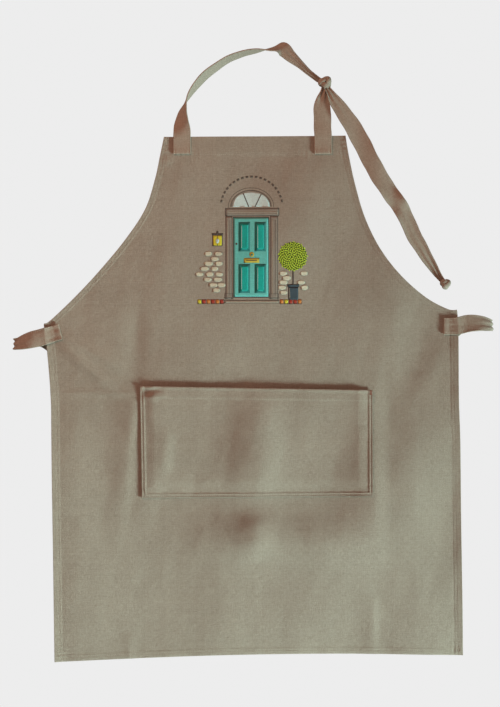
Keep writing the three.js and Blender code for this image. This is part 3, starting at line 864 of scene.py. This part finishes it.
RIGHT_TIE = [
    (308.5, -2.6, -472.5, 0, 0, 1, 0.95), (320.5, -2.6, -472.5, 0, 0, 1, 0.97),
    (334, -3.2, -471.5, 0, 0, 1, 1), (356, -4.7, -467.5, 0, 0.25, 0.97, 1),
    (375, -3.2, -468, 0, 0.4, 0.9, 0.9), (389, 2, -470, 0, 0.4, 0.9, 0.75), (393, 9, -471, 0, 0.2, 1, 0.62),
    (386, 15, -471, 0, 0, 1, 0.6), (368, 18, -471, 0, 0.2, 1, 0.65), (345, 18.5, -475, 0, 0.6, 0.8, 0.7),
    (327, 18.5, -491, -0.2, 1, 0.2, 1), (318, 18.5, -512, -0.1, 1, 0, 1), (317, 18.5, -570, -0.3, 0.95, 0, 1),
    (318, 18, -680, -0.8, 0.6, 0, 1), (320, 15, -840, -1, 0.25, 0, 1), (321, 12, -950, -1, 0, 0, 1),
    (322, 12, -1022, -1, 0, 0, 1),
]
TAPE_SEAM = 2.6                # the rows of stitches along a tape run this far inside its edges


class Tape:
    """A folded tape along a route of stations. The first `sewn` millimetres lie on the panel."""

    def __init__(self, stations, sewn, seed):
        self.line = Line(stations, 14)
        self.route = Line(np.array(stations)[:, :3], 14)
        self.sewn = sewn
        self.seed = seed
        self.length = self.route.length

    def frame_at(self, distance):
        """The middle of the tape, the ways along, across and through it, and its shown half width."""
        share = np.interp(distance, self.route.reach, self.line.reach)
        values = self.line.at(share)
        middle = values[..., :3]
        along = self.route.along(distance, 3.0)
        across = values[..., 3:6]
        across = unit(across - along * (across * along).sum(-1, keepdims=True))
        through = np.cross(along, across)
        return middle, along, across, through, values[..., 6] * STRAP_WIDTH / 2

    def surface(self, distance, out, side):
        """A point of the tape's face: `out` millimetres from its middle line as cut, `side` through it."""
        middle, _, across, through, half = self.frame_at(distance)
        full = half / (STRAP_WIDTH / 2)
        gather = 1 - np.clip(full, 0, 1)
        wobble = 0.5 * np.sin(distance / 17 + self.seed) + 0.3 * np.sin(distance / 6.3 + 2 * self.seed)
        pleat = gather * 3.4 * np.cos(out / (STRAP_WIDTH / 2) * 2.2 * math.pi + self.seed)
        crease = 0.35 * np.sin(distance / 23 + self.seed + out / 9) + 0.5 * (out / 15) ** 2
        free = smooth(distance, self.sewn, self.sewn + 18)
        rise = pleat + free * crease + side
        point = middle + across * (out * full + free * wobble)[..., None] + through * rise[..., None]
        if self.sewn:
            lying = 1 - smooth(distance, self.sewn - 2, self.sewn + 30)
            lift = panel_front(point[..., 0], point[..., 2]) + CLOTH / 2
            point[..., 1] += lying * lift
        return point

    def solid(self):
        rows = graded(self.length, 3, 1.0, 1.8)
        columns = graded(STRAP_WIDTH, 5, 0.9, 1.6)
        out, distance = np.meshgrid(columns - STRAP_WIDTH / 2, rows)
        edge = STRAP_WIDTH / 2 - np.abs(out)
        thick = rounded(rim_distance(rows, columns), STRAP / 2)
        thick = thick * (1 - 0.3 * bump(edge - TAPE_SEAM, 0.9) + 0.22 * bump(edge - 0.9, 1.0))
        if self.sewn:
            thick = thick * (1 + 0.35 * (1 - smooth(distance, 6, 8)))
        grain = np.stack([out, distance], -1)
        solid = shell(self.surface(distance, out, -thick), self.surface(distance, out, thick))
        return solid, np.vstack([grain.reshape(-1, 2), grain[1:-1, 1:-1].reshape(-1, 2)])


STITCH_PITCH = 3.5


def stitch_template():
    """One stitch: a short bead of thread whose ends sink into the cloth, lying along its first axis."""
    rings, sides = 7, 6
    t = np.linspace(-1, 1, rings)
    around = np.arange(sides) * 2 * math.pi / sides
    radius = np.array([0.35, 0.8, 1, 1.04, 1, 0.8, 0.35])
    points = np.zeros((rings, sides, 3))
    points[..., 0] = t[:, None]
    points[..., 1] = radius[:, None] * np.cos(around)[None]
    points[..., 2] = radius[:, None] * np.sin(around)[None] - 1.5 * t[:, None] ** 4
    index = np.arange(rings * sides).reshape(rings, sides)
    index = np.concatenate([index, index[:, :1]], 1)
    faces = [quads(index)]
    for ring, turn in ((0, 1), (rings - 1, -1)):
        a = index[ring, :sides][::turn]
        faces.append(np.array([[a[0], a[1], a[2], a[3]], [a[0], a[3], a[4], a[5]]]))
    return points.reshape(-1, 3), np.vstack(faces)


STITCH_POINTS, STITCH_FACES = stitch_template()


def stitches(path, face, length=2.7, radius=0.32):
    """Stitches along a path of points on the cloth; `face` points out of the cloth at each of them."""
    line = Line(path, 1)
    count = max(2, int(line.length / STITCH_PITCH))
    centres = (np.arange(count) + 0.5) * line.length / count
    middle = line.at(centres)
    along = line.along(centres, 1.0)
    normals = unit(np.stack([np.interp(centres, line.reach[:len(face)], f) for f in face.T], -1))
    sideways = unit(np.cross(normals, along))
    jitter = RNG.uniform(-1, 1, (count, 3))
    along = unit(along + sideways * 0.05 * jitter[:, :1])
    wide, deep = np.full(count, radius), np.full(count, radius * 0.9)
    local = STITCH_POINTS[None] * np.stack([length / 2 * (1 + 0.08 * jitter[:, 1]), wide, deep], -1)[:, None]
    points = (middle[:, None] + local[..., :1] * along[:, None] + local[..., 1:2] * sideways[:, None]
              + (local[..., 2:] + 0.1) * normals[:, None])
    offsets = np.arange(count)[:, None, None] * len(STITCH_POINTS)
    faces = STITCH_FACES[None] + offsets
    return points.reshape(-1, 3), faces.reshape(-1, 4)


def facing(surface_y, first, second):
    """Which way a surface faces at places on it, given in its own two directions."""
    slopes = [(surface_y(first + a, second + b) - surface_y(first - a, second - b)) / 2
              for a, b in ((1, 0), (0, 1))]
    return unit(np.stack([slopes[0], -np.ones_like(first), slopes[1]], -1))


def dense(points):
    """A straight-sided path through points, filled in."""
    points = np.asarray(points, float)
    filled = []
    for a, b in zip(points, points[1:]):
        count = max(2, int(np.linalg.norm(b - a) / PATH_STEP))
        filled.append(a + (b - a) * np.linspace(0, 1, count, endpoint=False)[:, None])
    return np.vstack([*filled, points[-1:]])


def sew(name, solid, material=thread):
    """Stitches on the apron, in place of the CAD's strip of that name."""
    piece(f"{name}_thread", solid, material, "apron", [name])


for hem_name, hem in HEMS.items():
    start, end = hem.stitch_ends
    marks = np.arange(start, hem.line.length - end, PATH_STEP)
    x, z = hem.line.inset(marks, np.full(len(marks), hem.seam * hem.inward)).T
    path = np.stack([x, panel_front(x, z), z], -1)
    sew(f"{hem_name}_stitching", stitches(path, facing(panel_front, x, z)))


def pocket_path(points):
    """A path on the pocket's face through (across, up) pairs, and which way it faces there."""
    across, up = dense(points).T
    x, z = pocket_place(across, up)
    return np.stack([x, pocket_front(across, up), z], -1), facing(pocket_front, across, up)


def bartack(across):
    """A close zigzag of thread across a pocket corner."""
    low, high = POCKET_HEIGHT - 9, POCKET_HEIGHT - 1
    rungs = []
    for up in np.arange(low, high, 0.62):
        path, face = pocket_path([(across - 1.6, up), (across + 1.6, up)])
        rungs.append(stitches(path[[0, -1]], face[[0, -1]], 3.4, 0.34))
    return joined(rungs)


NEAR, FAR, SEAM_TOP = POCKET_STITCH, POCKET_WIDTH - POCKET_STITCH, POCKET_HEIGHT - 8
HEM_SEAM = POCKET_HEIGHT - POCKET_HEM
for name, corners in {
    "pocket_seam": [(NEAR, SEAM_TOP), (NEAR, NEAR), (FAR, NEAR), (FAR, SEAM_TOP)],
    "pocket_hem": [(5, HEM_SEAM), (POCKET_WIDTH - 5, HEM_SEAM)],
}.items():
    sew(f"{name}_stitching", stitches(*pocket_path(corners)))
red_thread = thread_material("rust_thread", (0.36, 0.17, 0.11), (0.2, 0.09, 0.06))
sew("pocket_left_bartack", bartack(3.4))
sew("pocket_right_bartack", bartack(POCKET_WIDTH - 3.4), red_thread)


def tape_pieces(name, tape, nodes, ends):
    """A tape and the rows of stitches along its two edges."""
    solid, grain = tape.solid()
    made = piece(f"{name}_tape", solid, tape_cloth, None, nodes, grain)
    marks = np.arange(ends[0], tape.length - ends[1], PATH_STEP)
    through = tape.frame_at(marks)[3]
    rows = []
    for out in (-STRAP_WIDTH / 2 + TAPE_SEAM, STRAP_WIDTH / 2 - TAPE_SEAM):
        for side in (-1, 1):
            path = tape.surface(marks, np.full(len(marks), out), np.full(len(marks), side * STRAP * 0.36))
            rows.append(stitches(path, through * side))
    sewn = piece(f"{name}_stitching_thread", joined(rows), thread)
    for obj in (made, sewn):
        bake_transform(obj)


long_strap, short_strap = Tape(LONG_STRAP, 30, 1), Tape(SHORT_STRAP, 30, 2.2)
left_tie, right_tie = Tape(LEFT_TIE, 26, 3.1), Tape(RIGHT_TIE, 24, 4.4)
tape_pieces("neck_strap_long", long_strap, ["neck_strap_long", "left_neck_strap_end"],
            (34, 4))
tape_pieces("neck_strap_short", short_strap, ["neck_strap_short", "right_neck_strap_end"],
            (34, 4))
tape_pieces("neck_strap_tail", Tape(STRAP_TAIL, 0, 0.6), ["neck_strap_tail"],
            (4, 4))
tape_pieces("left_tie", left_tie, ["left_tie_start", "left_tie_end", "left_waist_tie"],
            (30, 2))
tape_pieces("right_tie", right_tie, ["right_tie_start", "right_tie_end", "right_waist_tie"],
            (28, 2))

# Each tape's sewn end has a stitched square, from 3 mm to this far along it.
for name, tape, far in (("left_neck_strap", long_strap, 27), ("right_neck_strap", short_strap, 27),
                        ("left_tie", left_tie, 24), ("right_tie", right_tie, 22)):
    out = STRAP_WIDTH / 2 - 3
    corners = dense([(3, -out), (far, -out), (far, out), (3, out), (3, -out)])
    path = tape.surface(corners[:, 0], corners[:, 1], np.full(len(corners), -STRAP * 0.4))
    face = np.repeat([[0.0, -1.0, 0.0]], len(path), 0)
    sew(f"{name}_end_stitching", stitches(path, face))

# --- Knots ---


KNOT_STEPS = 260
KNOT_SIDES = 14


def knot_solid(centre, radii, band, thick, turn):
    """A tape pulled into a tight overhand knot: a trefoil route pressed onto an egg-shaped lump."""
    t = np.linspace(0, 2 * math.pi, KNOT_STEPS, endpoint=False)
    route = np.stack([np.sin(t) + 2 * np.sin(2 * t), np.cos(t) - 2 * np.cos(2 * t), -1.7 * np.sin(3 * t)], -1)
    route = route / np.array([3.0, 3.0, 1.7])
    tilt = np.array([[math.cos(turn), -math.sin(turn), 0], [math.sin(turn), math.cos(turn), 0], [0, 0, 1]])
    route = (route @ tilt.T)[:, [0, 2, 1]]
    route = unit(route) * (0.62 + 0.3 * np.linalg.norm(route, axis=1, keepdims=True))
    middle = route * (np.array(radii) - thick)
    along = unit(np.roll(middle, -1, 0) - np.roll(middle, 1, 0))
    across = unit(np.cross(along, unit(middle / radii)))
    through = np.cross(across, along)
    around = np.arange(KNOT_SIDES) * 2 * math.pi / KNOT_SIDES
    wide = np.sign(np.cos(around)) * np.abs(np.cos(around)) ** 0.7 * band / 2
    rise = np.sin(around) * thick + 0.16 * band * (1 - (2 * wide / band) ** 2)
    pulse = 1 + 0.12 * np.sin(5 * t + turn)
    points = (middle[:, None] + across[:, None] * (wide[None] * pulse[:, None])[..., None]
              + through[:, None] * rise[None, :, None]) + np.asarray(centre)
    index = np.arange(KNOT_STEPS * KNOT_SIDES).reshape(KNOT_STEPS, KNOT_SIDES)
    index = np.concatenate([index, index[:, :1]], 1)
    index = np.concatenate([index, index[:1]], 0)
    grain = np.stack(np.meshgrid(wide, t * KNOT_SIDES), -1)
    return (points.reshape(-1, 3), quads(index)), grain.reshape(-1, 2)


for name, body, numbers in (("neck_knot", "neck_loop", ((105.4, -6, -54.2), (12.2, 9, 11), 10.5, 1.7, 0.5)),
                            ("tail_end_knot", "strap_tail", ((311, -11, -400), (9.2, 8, 9.2), 9, 1.6, 2.1))):
    knot, knot_grain = knot_solid(*numbers)
    piece(f"{name}_tape", knot, tape_cloth, body, [name], knot_grain)

# --- Camera, light and floor ---

VIEW_CENTRE = (-0.0241, -0.5194)
VIEW_HEIGHT = 1.216
LENS = 100
SENSOR = 36
FLOOR_LEVEL = -1.42


def add_camera():
    data = bpy.data.cameras.new("camera")
    data.lens = LENS
    data.sensor_width = SENSOR
    data.sensor_fit = "AUTO"
    data.dof.use_dof = False
    camera = bpy.data.objects.new("camera", data)
    camera.location = (VIEW_CENTRE[0], -VIEW_HEIGHT * LENS / SENSOR, VIEW_CENTRE[1])
    camera.rotation_euler = (math.pi / 2, 0, 0)
    bpy.context.scene.collection.objects.link(camera)
    bpy.context.scene.camera = camera


def add_light(name, spot, target, size, power, tint, spread=math.pi):
    data = bpy.data.lights.new(name, "AREA")
    data.spread = spread
    data.shape = "DISK"
    data.size = size
    data.energy = power
    data.color = tint
    light = bpy.data.objects.new(name, data)
    light.location = spot
    light.visible_camera = False
    light.rotation_euler = (Vector(target) - Vector(spot)).to_track_quat("-Z", "Y").to_euler()
    bpy.context.scene.collection.objects.link(light)


def add_world():
    """A pale background for the camera, and a dimmer warm light all round."""
    world = bpy.data.worlds.new("studio")
    world.use_nodes = True
    bpy.context.scene.world = world
    tree = world.node_tree
    tree.nodes.clear()
    rays = tree.nodes.new("ShaderNodeLightPath")
    mix = tree.nodes.new("ShaderNodeMixShader")
    output = tree.nodes.new("ShaderNodeOutputWorld")
    tree.links.new(rays.outputs["Is Camera Ray"], mix.inputs[0])
    for number, levels in ((1, (0.16, 0.132, 0.118)), (2, (0.846, 0.846, 0.846))):
        light = tree.nodes.new("ShaderNodeBackground")
        light.inputs["Color"].default_value = colour(*levels)
        tree.links.new(light.outputs[0], mix.inputs[number])
    tree.links.new(mix.outputs[0], output.inputs[0])


def add_floor():
    """A plain pale round floor. It casts no shadow, because the key light stands below its level."""
    bpy.ops.mesh.primitive_circle_add(vertices=96, radius=1.6, fill_type="NGON", location=(0, 0, FLOOR_LEVEL))
    floor = bpy.context.object
    floor.name = "floor"
    graph = Graph("pale_floor")
    spot = graph.node("ShaderNodeTexCoord").outputs["Object"]
    shade = graph.spread(graph.noise(spot, 3.0), 0.78, 0.82)
    tint = graph.mix(shade, colour(0.6, 0.68, 0.74), colour(0.86, 0.96, 1.0))
    graph.feed(graph.shader.inputs["Base Color"], tint)
    graph.shader.inputs["Roughness"].default_value = 0.9
    floor.data.materials.append(graph.material)
    floor.visible_shadow = False


add_camera()
add_world()
add_floor()
add_light("key", (2.9, -1.0, -2.45), (-1.2, 0.0, -1.0), 0.8, 45, (0.74, 0.98, 0.92), math.radians(68))
add_light("fill", (-0.9, -1.3, 0.7), (0.0, 0.0, -0.4), 1.2, 18, (1.0, 0.46, 0.31))
add_light("back", (0.7, 2.6, 0.2), (0.0, 0.0, -0.6), 1.6, 34, (1.0, 0.93, 0.82))
bpy.context.scene.view_settings.view_transform = "Standard"
